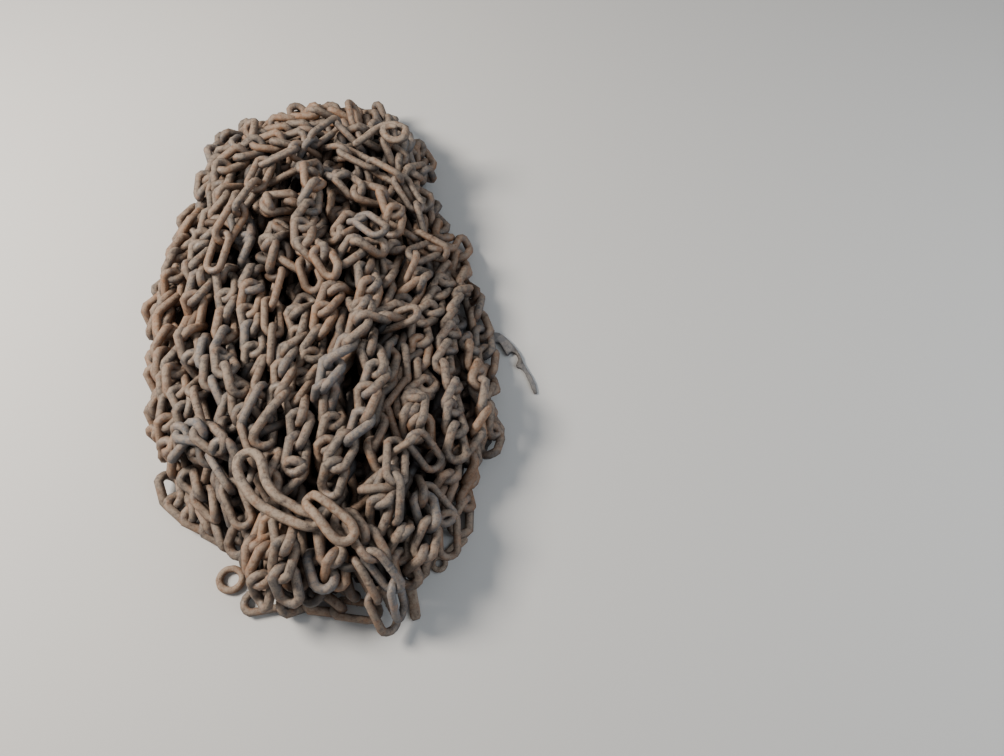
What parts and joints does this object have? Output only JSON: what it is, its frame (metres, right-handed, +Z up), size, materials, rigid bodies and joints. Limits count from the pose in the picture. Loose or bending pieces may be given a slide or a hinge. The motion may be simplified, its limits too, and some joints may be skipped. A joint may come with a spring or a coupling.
{
  "type": "heap of iron chain",
  "caption": "Low, long heap of worn iron chain laid in lengthwise runs and folded at the ends, with heavy joining links, an end ring, a curled hook and flat fasteners.",
  "frame": {"origin": "on the floor, under the middle of the heap's bounding box", "axes": "+Y along the heap towards its far, folded end; +X to its right side, where the lever fastener lies; +Z up"},
  "size_m": [0.6842, 1.1636, 0.2118],
  "materials": {
    "hidden_iron": "rusted, in shade",
    "rusty_iron": "brown rust with pale dust on top",
    "worn_iron": "lighter brown rust",
    "grey_iron": "dusty grey forged iron"
  },
  "bodies": {
    "root": {"core": "hidden_iron", "left_floor_run": "rusty_iron", "right_floor_run": "rusty_iron", "left_flank_run": "rusty_iron", "right_flank_run": "rusty_iron", "left_side_run": "rusty_iron", "right_side_run": "rusty_iron", "left_shoulder_run": "rusty_iron", "right_shoulder_run": "rusty_iron", "left_inner_run": "rusty_iron", "left_ridge_run": "rusty_iron", "right_ridge_run": "rusty_iron", "middle_run": "rusty_iron", "near_end_run": "rusty_iron", "far_end_run": "rusty_iron", "left_loop_run": "rusty_iron", "upper_left_run": "rusty_iron", "upper_right_run": "rusty_iron", "far_folded_run": "rusty_iron", "far_saddle_run": "rusty_iron", "far_brow_run": "rusty_iron", "near_folded_run": "rusty_iron", "near_brow_run": "rusty_iron", "heavy_links": "worn_iron", "end_hook": "worn_iron", "end_ring": "worn_iron", "eye_bar": "worn_iron", "bar_end": "worn_iron", "lever_fastener": "grey_iron"}
  },
  "joints": []
}
